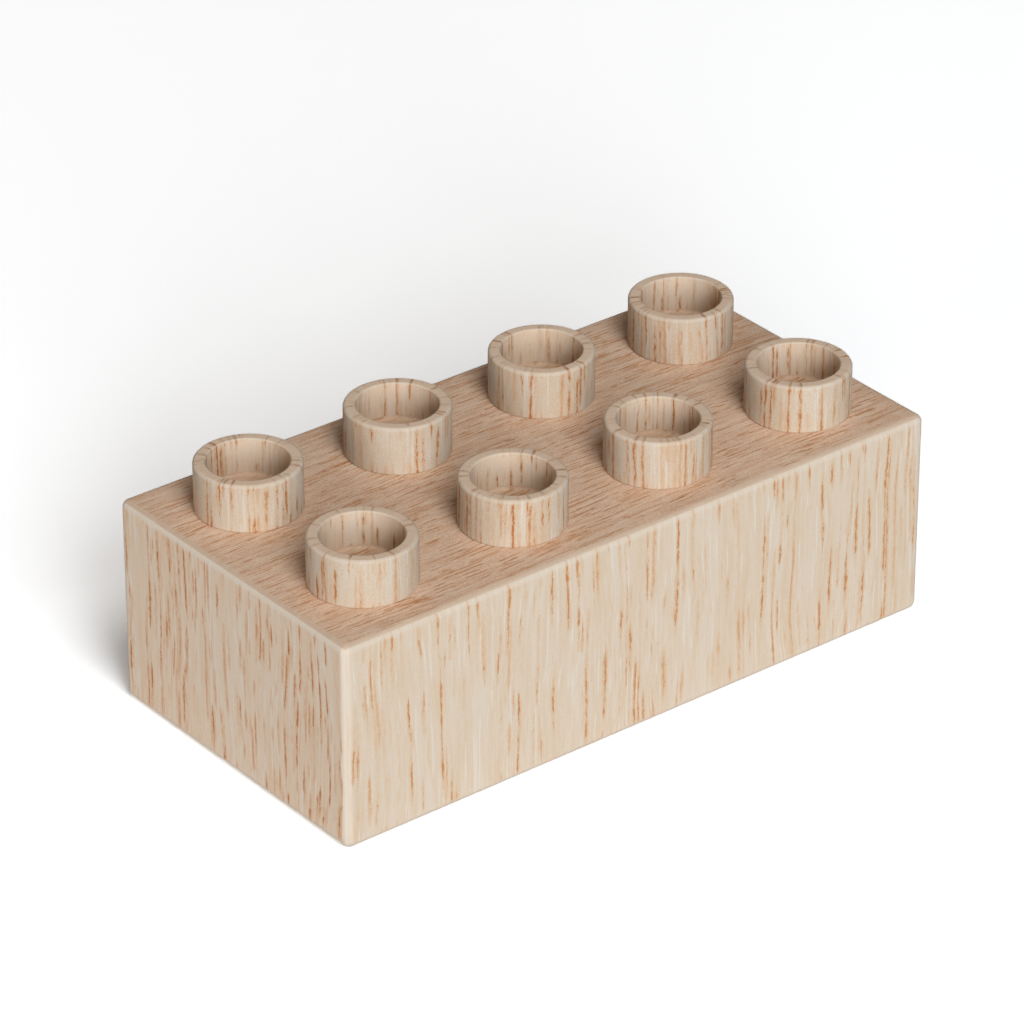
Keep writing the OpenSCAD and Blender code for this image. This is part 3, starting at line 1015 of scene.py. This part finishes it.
        # The short walls take the paler copy of the same wood: painted light for their weaker lamp light.
        wood = WALL_WOOD if side.is_long() else SIDE_WOOD_PAINTED_PALER
        Shell(f"{side.name.lower()}_wall", Grain.UPRIGHT, Seed.WALL + side, patches).build(wood)

    def flats(self, half: float, cells: int) -> Array:
        """Gives places along a side of the top board, with the same number of steps in each cell of the grid."""
        return stepped([-half, *(np.arange(1, cells) - cells / 2) * self.pitch, half], self.cell_steps)

    def plate(self, x: Array, y: Array, z: float) -> list[Patch]:
        """Makes a flat face of the top board with a seat for each stud.

        Args:
            x: Places along X, with as many steps to each cell.
            y: Places along Y, in the same way.
            z: The face's height.

        Returns:
            A cell for each stud.
        """
        n, cells = self.cell_steps, []
        for number, (_, centre) in enumerate(self.studs()):
            row, column = divmod(number, self.columns)
            ends = x[n * column:n * (column + 1) + 1], y[n * row:n * (row + 1) + 1]
            cells.append(plate_cell(*ends, z, centre, self.seat_radius))
        return cells

    def top_board(self) -> None:
        """Builds the top board: flat faces with eight seats, rounded upper edges and four mitres."""
        r, high = self.edge_radius, self.height
        half_x, half_y = self.length / 2 - r, self.width / 2 - r
        x, y = self.flats(half_x, self.columns), self.flats(half_y, len(self.rows))
        low_x, low_y = x / half_x * (self.length / 2 - self.board), y / half_y * (self.width / 2 - self.board)
        upper, lower = self.plate(x, y, high), self.plate(low_x, low_y, self.under)
        for cell in upper:
            cell.edge = self.edge_mask(Side.FRONT, cell.points)
        patches = upper + lower
        patches += [Patch(np.stack([a.points[0], b.points[0]]), columns_meet=True) for a, b in zip(upper, lower)]
        for side in Side:
            angle, share = self.turns(side, x if side.is_long() else y)
            start = np.arctan(np.cos(angle))
            lift = start + np.linspace(0.0, 1.0, self.arc_steps + 1)[:, None] * (np.pi / 2 - start)
            mitre = self.inner(side, share, self.board, [self.under])
            points = np.concatenate([mitre, self.outer(side, angle, share, lift, high - r)])
            edge = self.edge_mask(side, points)
            edge[0] = 0.0
            patches.append(Patch(points, edge).turn(side))
        Shell("top_board", Grain.LENGTHWISE, Seed.TOP, patches).build(TOP_WOOD)

    def build(self) -> None:
        """Builds the walls and the top board."""
        for side in Side:
            self.wall(side)
        self.top_board()


@dataclass(frozen=True)
class Studs(Block):
    """The eight studs: a turned ring with a rounded rim, and inside it the floor on its tenon."""

    radius: float = 37 * MM
    rise: float = 35.5 * MM
    wall: float = 8.5 * MM
    outer_round: float = 2.4 * MM
    inner_round: float = 1.2 * MM
    rim_hold: float = 0.4 * MM
    foot_ease: float = 0.8 * MM
    bore_cut: float = 0.45
    floor: float = 8 * MM
    cove: float = 2.5 * MM
    flange_radius: float = 28.3 * MM
    tenon_radius: float = 23 * MM
    tenon_ease: float = 0.5 * MM
    crease: float = 40.0
    steps: int = 192
    rim_steps: int = 10

    def ring(self, number: int) -> None:
        """Builds one ring: up the outside, over the rim, down the inside and back along the base.

        Its grain is that of a straight tube of its outer radius, as high as the path along its profile is long, so
        that a streak runs over the rim without a break.

        Args:
            number: The stud's number, from 0.
        """
        stud, centre = self.studs()[number]
        outer, bore, wide, fine = self.radius, self.radius - self.wall, self.outer_round, self.inner_round
        base, top = self.height, self.height + self.rise
        up = upright(outer, held(base + self.foot_ease, top - wide, HOLD, FLAT_POINTS)[:-1])
        over = arc((outer - wide, top - wide), wide, 0, 90, self.rim_steps)
        flat = np.array([[outer - wide - self.rim_hold, top], [bore + fine + self.rim_hold, top]])
        under = arc((bore + fine, top - fine), fine, 90, 180, self.rim_steps)
        down = upright(bore, held(top - fine, base, HOLD, FLAT_POINTS)[1:])
        profile = np.concatenate([[[outer - self.foot_ease, base]], up, over, flat, under, down])

        turn = np.linspace(0.0, np.pi / 2, len(over))
        # The roundings take the stud wood's pale edge colour: hand polish, and a painted highlight.
        outside, rounding = np.zeros(1 + len(up)), np.sin(2 * turn).clip(0.0, 1.0) ** 0.7
        edge = np.concatenate([outside, rounding, np.zeros(len(flat)), rounding, np.zeros(len(down))])
        # The inside of the ring takes part of the rim's colour all the way down.
        cut = np.concatenate([outside, np.sin(turn) ** 4, np.ones(len(flat)),
                              np.maximum(np.cos(turn) ** 4, self.bore_cut), np.full(len(down), self.bore_cut)])
        path = np.concatenate([[0.0], np.cumsum(np.linalg.norm(np.diff(profile, axis=0), axis=1))])
        patch = revolved(profile, centre, self.steps, edge[:, None])
        patch.grain = revolved(upright(outer, path), (0.0, 0.0), self.steps).points
        patch.cut = cut[:, None]
        Shell(f"stud_ring_{stud}", Grain.UPRIGHT, Seed.RING + number, [patch]).build(STUD_WOOD, self.crease)

    def plug(self, number: int) -> None:
        """Builds the floor of a stud: a disc with a coved rim, on a round tenon through the top board.

        Args:
            number: The stud's number, from 0.
        """
        stud, centre = self.studs()[number]
        base, floor, ease = self.height, self.height + self.floor, self.tenon_ease
        flange, tenon = self.flange_radius, self.tenon_radius
        flat = [[radius, floor] for radius in (0.0, flange * 0.3, flange * 0.6, flange - self.cove - HOLD)]
        cove = arc((flange - self.cove, floor + self.cove), self.cove, -90, 0, ROUND_STEPS)
        tail = [[flange, base], [tenon, base], [tenon, self.under + ease], [tenon - ease, self.under],
                [0.0, self.under]]
        # The cove takes the floor wood's paler edge colour: a painted highlight in the hollow at the foot of the ring.
        edge = np.concatenate([np.zeros(len(flat)), np.linspace(0.1, 0.7, len(cove)), np.zeros(len(tail))])
        patch = revolved(np.concatenate([flat, cove, tail]), centre, self.steps // 2, edge[:, None], closed=False)
        Shell(f"stud_plug_{stud}", Grain.LENGTHWISE, Seed.STUD_PLUG + number, [patch]).build(FLOOR_WOOD)

    def build(self) -> None:
        """Builds the rings and plugs."""
        for number in range(len(self.studs())):
            self.ring(number)
            self.plug(number)


@dataclass(frozen=True)
class ClutchTubes(Block):
    """The three tubes that grip the studs of the block below, each on a plug under the top board."""

    radius: float = 50.98835 * MM
    wall: float = 9 * MM
    lip_radius: float = 2 * MM
    lip_hold: float = 0.4 * MM
    lip_wear: float = 0.8
    glue: float = 0.2 * MM
    plug_height: float = 18 * MM
    plug_ease: float = 0.6 * MM
    sink_hold: float = 0.5 * MM
    steps: int = 128
    plug_steps: int = 96
    places: tuple[str, ...] = ("left", "middle", "right")

    def centre(self, number: int) -> Point:
        """Gives the centre of a tube, in the middle of four studs."""
        return (number - 1) * self.pitch, 0.0

    def tube(self, number: int) -> None:
        """Builds one tube, turned with both edges of its foot rounded.

        Args:
            number: The tube's number, from 0 on the left.
        """
        outer, bore, q = self.radius, self.radius - self.wall, self.lip_radius
        low = self.foot_gap + q
        lips = np.concatenate([arc((bore + q, low), q, 180, 270, ROUND_STEPS),
                               arc((outer - q, low), q, 270, 360, ROUND_STEPS)])
        up = upright(outer, held(low + self.lip_hold, self.under, HOLD, FLAT_POINTS))
        down = upright(bore, held(self.under, low + self.lip_hold, HOLD, FLAT_POINTS))
        edge = np.concatenate([np.full(len(lips), self.lip_wear), np.zeros(len(up) + len(down))])
        patch = revolved(np.concatenate([lips, up, down]), self.centre(number), self.steps, edge[:, None])
        Shell(f"clutch_tube_{self.places[number]}", Grain.UPRIGHT, Seed.TUBE + number, [patch]).build(INNER_WOOD)

    def plug(self, number: int) -> None:
        """Builds the plywood disc in a tube's upper end, with a countersunk hole for its screw.

        Args:
            number: The tube's number, from 0 on the left.
        """
        low, high, ease = self.under - self.plug_height, self.under, self.plug_ease
        radius, sink, hole = self.radius - self.wall - self.glue, self.sink_radius, self.hole_radius
        profile = np.array([
            [sink, low], [hole, low + self.sink_depth], [hole, high], [radius, high], [radius, low + ease],
            [radius - ease, low], [radius * 0.6, low], [sink + self.sink_hold, low],
        ])
        patch = revolved(profile, self.centre(number), self.plug_steps)
        Shell(f"tube_plug_{self.places[number]}", Grain.UPRIGHT, Seed.TUBE_PLUG + number, [patch]).build(PLYWOOD)

    def build(self) -> None:
        """Builds the tubes and their plugs."""
        for number in range(len(self.places)):
            self.tube(number)
            self.plug(number)


@dataclass(frozen=True)
class Framing(Block):
    """What stiffens the box inside: grip rails, corner posts, cleats and cross battens."""

    rail: float = 9.85 * MM
    rail_height: float = 32 * MM
    lead_in: float = 3 * MM
    lead_round: float = 0.7 * MM
    edge_round: float = 1.4 * MM
    post_leg: float = 31.758 * MM
    post_round: float = 0.5 * MM
    cleat: float = 18 * MM
    batten_width: float = 20.0233 * MM
    batten_height: float = 18 * MM
    across_points: int = 9
    cell_steps: int = 8

    def along_wall(self, kind: str, side: Side, seed: int, corners: Sequence[tuple[float, float, float]],
                   gap: float) -> None:
        """Builds a batten along the inside of a wall: an outline, carried straight along it and closed at both ends.

        Each point is (s, y, z), with s from minus to plus half the length.

        Args:
            kind: What kind of batten, as the start of its name.
            side: The wall.
            seed: The piece's seed.
            corners: The outline's corners as (y, z, radius), with y from the wall inwards.
            gap: How far from the ends of the wall it stops.
        """
        loop, mask = rounded_loop(corners)
        span, depth = self.sizes(side, self.board)
        stations = np.linspace(gap - span / 2, span / 2 - gap, FLAT_POINTS)[:, None]
        patches = capped(grid_points(stations, loop[:, 0] - depth / 2, loop[:, 1]), mask)
        grain = Grain.LENGTHWISE if side.is_long() else Grain.CROSSWISE
        Shell(f"{kind}_{side.name.lower()}", grain, seed, [p.turn(side) for p in patches]).build(INNER_WOOD)

    def grip_rail(self, side: Side) -> None:
        """Builds a grip rail: a batten between two posts, with a lead-in at its lower inner edge.

        Args:
            side: The wall that it lies along.
        """
        t, low, high = self.rail, self.foot_gap, self.foot_gap + self.rail_height
        self.along_wall("grip_rail", side, Seed.RAIL + side, [
            (0, low, 0), (t - self.lead_in, low, self.lead_round), (t, low + self.lead_in, self.lead_round),
            (t, high, self.edge_round), (0, high, 0),
        ], self.post_leg)

    def wall_cleat(self, side: Side) -> None:
        """Builds a cleat: a square batten in the angle between a wall and the top board.

        Args:
            side: The wall that it lies along.
        """
        w, low, high, soft = self.cleat, self.under - self.cleat, self.under, self.edge_round
        corners = [(0, low, soft), (w, low, soft), (w, high, soft), (0, high, soft)]
        self.along_wall("cleat", side, Seed.CLEAT + side, corners, 0.0 if side.is_long() else w)

    def corner_post(self, number: int) -> None:
        """Builds a corner post, with a lead-in at the foot of the face that meets a stud.

        The plan is carried upwards. At the foot, each point of it that lies past the lead-in, measured along the
        diagonal, is drawn back: p minus d times (excess) where d is the diagonal direction.

        Args:
            number: The corner's number: 0 and 1 in front, 2 and 3 at the back, each from left to right.
        """
        (row, y_side), (end, x_side) = self.rows[number // 2], self.ends[number % 2]
        leg, t, soft, lead, root = self.post_leg, self.rail, self.post_round, self.lead_in, math.sqrt(2)
        plan, mask = rounded_loop([(0, 0, 0), (leg, 0, 0), (leg, t, soft), (t, leg, soft), (0, leg, 0)])
        top = self.under - self.cleat - self.foot_gap
        rise = np.array([0.0, lead * 0.5, lead, lead + HOLD, 40 * MM, 80 * MM, top])[:, None]
        limit = (leg + t) / root - (lead - rise).clip(0.0, None)
        drawn = (plan.sum(axis=1) / root - limit).clip(0.0, None) / root
        x = x_side * (self.length / 2 - self.board - (plan[:, 0] - drawn))
        y = y_side * (self.width / 2 - self.board - (plan[:, 1] - drawn))
        patches = capped(grid_points(x, y, rise + self.foot_gap), mask)
        Shell(f"corner_post_{row}_{end}", Grain.UPRIGHT, Seed.POST + number, patches).build(INNER_WOOD)

    def cross_batten(self, column: int) -> None:
        """Builds a cross batten, with two countersunk holes in its lower face.

        The lower face is a plate of three cells, the outer two with a hole. The other faces are an open outline
        carried along Y at the places of the plate's own points, so that both match along their shared edges.

        Args:
            column: The column of studs that it lies under.
        """
        half, long = self.batten_width / 2, self.width / 2 - self.board - self.cleat
        low, high, soft, n = self.under - self.batten_height, self.under, self.edge_round, self.cell_steps
        y = stepped([-long, half - self.pitch / 2, self.pitch / 2 - half, long], n)
        across = np.linspace(-half + soft, half - soft, self.across_points)
        centres = ((0.0, -self.pitch / 2), None, (0.0, self.pitch / 2))
        cells = [plate_cell(across, y[n * i:n * (i + 1) + 1], low, centre, self.sink_radius)
                 for i, centre in enumerate(centres)]
        patches = list(cells)
        for cell, centre in zip(cells[::2], centres[::2]):
            rim = cell.points[0]
            narrow = centre + (rim[:, :2] - centre) * (self.hole_radius / self.sink_radius)
            throat, mouth = (np.insert(narrow, 2, z, axis=1) for z in (low + self.sink_depth, high))
            patches += [Patch(np.stack([rim, throat, mouth]), columns_meet=True), Patch.fan(mouth)]
        loop, mask = rounded_loop([(half, low, soft), (half, high, soft), (-half, high, soft), (-half, low, soft)])
        section = grid_points(loop[:, 0], y[:, None], loop[:, 1])
        patches.append(Patch(section, mask))
        for end in (0, -1):
            patches.append(Patch.fan(np.concatenate([section[end], grid_points(across[1:-1], y[end], low)])))
        for patch in patches:
            patch.points[..., 0] += self.column_x(column)
        Shell(f"cross_batten_{column}", Grain.CROSSWISE, Seed.BATTEN + column, patches).build(INNER_WOOD)

    def build(self) -> None:
        """Builds the rails, cleats, posts and battens."""
        for side in Side:
            self.grip_rail(side)
            self.wall_cleat(side)
        for number in range(len(self.rows) * len(self.ends)):
            self.corner_post(number)
        for column in range(1, self.columns + 1):
            self.cross_batten(column)


@dataclass(frozen=True)
class Hardware:
    """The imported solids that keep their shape: screws, and the keys inside the mitred corners."""

    screws: tuple[str, ...] = ("stud_screws", "tube_plug_screws")
    keys: tuple[str, ...] = ("corner_key_front_left", "corner_key_front_right", "corner_key_back_left",
                             "corner_key_back_right")

    def build(self) -> None:
        """Dresses the screws in steel and the keys in plywood."""
        for nodes, finish in ((self.screws, STEEL), (self.keys, PLYWOOD)):
            for node in nodes:
                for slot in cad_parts[node].material_slots:
                    slot.material = finish.material()
                log.info("%s keeps its solid: %s", node, finish.name)


# --- The studio ---


def aimed(name: str, data: bpy.types.Light | bpy.types.Camera, target: Vector, azimuth: float, elevation: float,
          distance: float) -> bpy.types.Object:
    """Puts a lamp or the camera round the target and turns it there.

    It stands at the target plus the distance times (sin a cos e, -cos a cos e, sin e).

    Args:
        name: Its name.
        data: The lamp or camera.
        target: What it looks at.
        azimuth: a in degrees, 0 in front and 90 on the right.
        elevation: e in degrees.
        distance: How far away it stands.

    Returns:
        Its object.
    """
    a, e = math.radians(azimuth), math.radians(elevation)
    away = Vector((math.sin(a) * math.cos(e), -math.cos(a) * math.cos(e), math.sin(e)))
    obj = bpy.data.objects.new(name, data)
    obj.location = target + away * distance
    obj.rotation_mode = "QUATERNION"
    obj.rotation_quaternion = (-away).to_track_quat("-Z", "Y")
    bpy.context.scene.collection.objects.link(obj)
    return obj


@dataclass(frozen=True)
class SoftBox:
    """A large soft lamp.

    Args:
        name: The lamp's name.
        azimuth: Its direction from the block in degrees, 0 in front and 90 on the right.
        elevation: Its height above the floor in degrees.
        level: The light that it gives to a face turned to it, where 1 shows a colour as it is written.
        tint: Its colour.
        distance: From the middle of the block.
        size: Across its disc.
    """

    name: str
    azimuth: float
    elevation: float
    level: float
    tint: Colour
    distance: float = 16.0
    size: float = 6.8

    def build(self, target: Vector) -> None:
        """Builds the lamp. Its power is level times pi squared times the distance squared.

        Args:
            target: What it lights.
        """
        lamp = bpy.data.lights.new(self.name, "AREA")
        lamp.shape = "DISK"
        lamp.size = self.size
        lamp.color = self.tint
        lamp.energy = self.level * math.pi**2 * self.distance**2
        aimed(self.name, lamp, target, self.azimuth, self.elevation, self.distance).visible_camera = False
        log.info("lamp %s at %.1f m", self.name, self.distance)


@dataclass(frozen=True)
class Studio:
    """The white studio: floor, backdrop, lamps and camera."""

    lens: float = 200.285
    sensor: float = 36.0
    clip: Point = (0.05, 60.0)
    yaw: float = -38.586
    elevation: float = 29.765
    distance: float = 3.94705
    target: tuple[float, float, float] = (0.030416, 0.054777, 0.074925)
    floor_size: float = 60.0
    floor_drop: float = 0.2 * MM
    floor_bounce: Colour = (0.78, 0.78, 0.78)
    floor_shown: Colour = (1.72, 1.77, 1.83)
    floor_glow: float = 0.09
    lamps: tuple[SoftBox, ...] = (
        SoftBox("Key", -15.0, 34.0, 0.34, (0.975, 0.995, 1.0)),
        SoftBox("Front left", -30.0, 14.0, 0.46, (0.975, 0.995, 1.0)),
        SoftBox("Left", -75.0, 8.0, 0.18, (1.0, 0.78, 0.62)),
        SoftBox("Back", 180.0, 34.0, 0.10, (1.0, 0.88, 0.78)),
        SoftBox("High", -10.0, 60.0, 0.25, (1.0, 0.97, 0.93)),
    )

    def camera(self) -> None:
        """Builds the camera."""
        data = bpy.data.cameras.new("Camera")
        data.lens, data.sensor_width = self.lens, self.sensor
        data.clip_start, data.clip_end = self.clip
        bpy.context.scene.camera = aimed("Camera", data, Vector(self.target), self.yaw, self.elevation, self.distance)

    def seen(self, g: Graph) -> Socket:
        """Gives 1 for rays that show the background: straight from the camera, mirrored or through glass."""
        path = g.add("ShaderNodeLightPath").outputs
        return g.math("MAXIMUM", path["Is Camera Ray"], path["Is Glossy Ray"], path["Is Transmission Ray"])

    def floor_shader(self, g: Graph) -> bpy.types.Node:
        """Builds the floor's finish: matt, lit up a little where it is seen, and clear from below.

        Args:
            g: The material's graph.

        Returns:
            The shader node.
        """
        seen = self.seen(g)
        diffuse = g.add("ShaderNodeBsdfDiffuse", {"Color": g.blend(seen, self.floor_bounce, self.floor_shown)})
        glow = g.add("ShaderNodeEmission", {"Strength": g.times(seen, self.floor_glow)})
        both = g.add("ShaderNodeAddShader", {0: diffuse.outputs[0], 1: glow.outputs[0]})
        below = g.add("ShaderNodeNewGeometry").outputs["Backfacing"]
        clear = g.add("ShaderNodeBsdfTransparent")
        return g.add("ShaderNodeMixShader", {0: below, 1: both.outputs[0], 2: clear.outputs[0]})

    def floor(self) -> None:
        """Builds the floor, which keeps the block's shadow and is otherwise as white as the backdrop."""
        half, low = self.floor_size / 2, -self.floor_drop
        mesh = bpy.data.meshes.new("Floor")
        mesh.from_pydata([(-half, -half, low), (half, -half, low), (half, half, low), (-half, half, low)], [],
                         [(0, 1, 2, 3)])
        material = bpy.data.materials.new("Studio floor")
        shaded(material, "ShaderNodeOutputMaterial", self.floor_shader)
        mesh.materials.append(material)
        obj = bpy.data.objects.new("Floor", mesh)
        bpy.context.scene.collection.objects.link(obj)

    def white(self, g: Graph) -> bpy.types.Node:
        """Builds the backdrop: white where it is seen, and dark elsewhere, so that only the lamps light the block."""
        return g.add("ShaderNodeBackground", {"Color": (1.0, 1.0, 1.0), "Strength": self.seen(g)})

    def build(self) -> None:
        """Builds the whole studio and sets how colours are shown."""
        bpy.context.scene.view_settings.view_transform = "Standard"
        self.camera()
        self.floor()
        bpy.context.scene.world = bpy.data.worlds.new("Studio")
        shaded(bpy.context.scene.world, "ShaderNodeOutputWorld", self.white)
        for lamp in self.lamps:
            lamp.build(Vector(self.target))


def main() -> None:
    """Builds the studio and the block."""
    logging.basicConfig(level=logging.INFO, format="%(name)s: %(message)s")
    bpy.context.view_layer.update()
    Studio().build()
    for assembly in (BoxShell(), Studs(), ClutchTubes(), Framing(), Hardware()):
        assembly.build()


if __name__ == "__main__":
    main()
